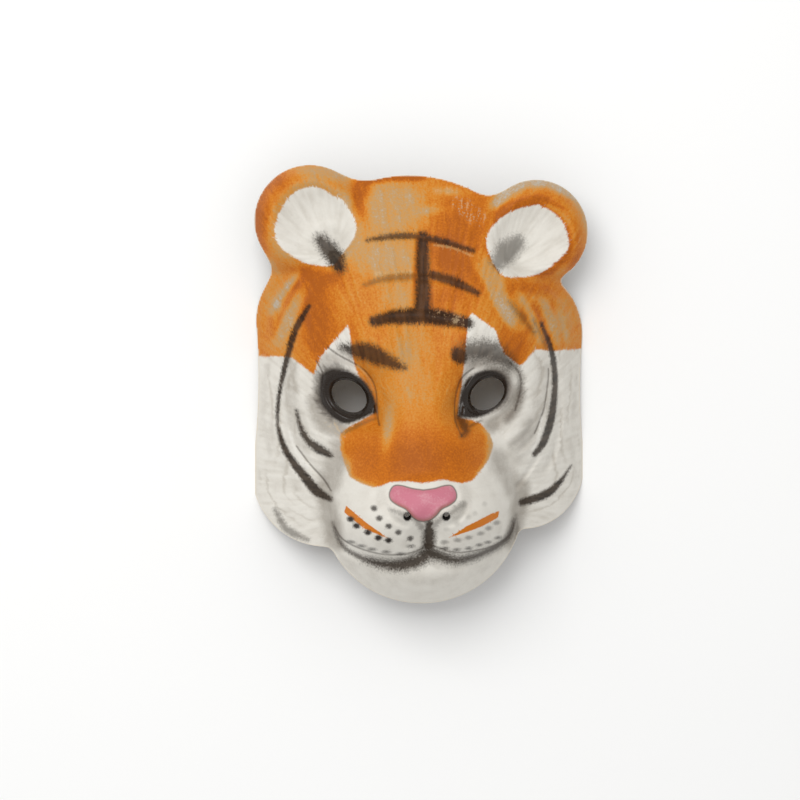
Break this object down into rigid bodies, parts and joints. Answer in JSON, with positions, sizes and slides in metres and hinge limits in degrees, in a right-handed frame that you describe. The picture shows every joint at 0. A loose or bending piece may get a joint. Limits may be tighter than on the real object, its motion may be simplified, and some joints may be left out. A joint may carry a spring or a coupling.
{
  "type": "tiger face mask",
  "caption": "Hollow moulded rubber tiger face mask with round ears, raised muzzle, eye holes and breathing holes; it covers a wearer's face.",
  "frame": {"origin": "centre of the mask's bounding box in plan, on the floor plane that its four rim flats rest on", "axes": "+Z out of the tiger's face, +Y to the crown and the ears, +X to the right of someone who looks at the face"},
  "size_m": [0.186, 0.2437, 0.0986],
  "materials": {
    "painted_latex": "matte"
  },
  "bodies": {
    "root": {"mask_shell": "painted_latex"}
  },
  "joints": []
}
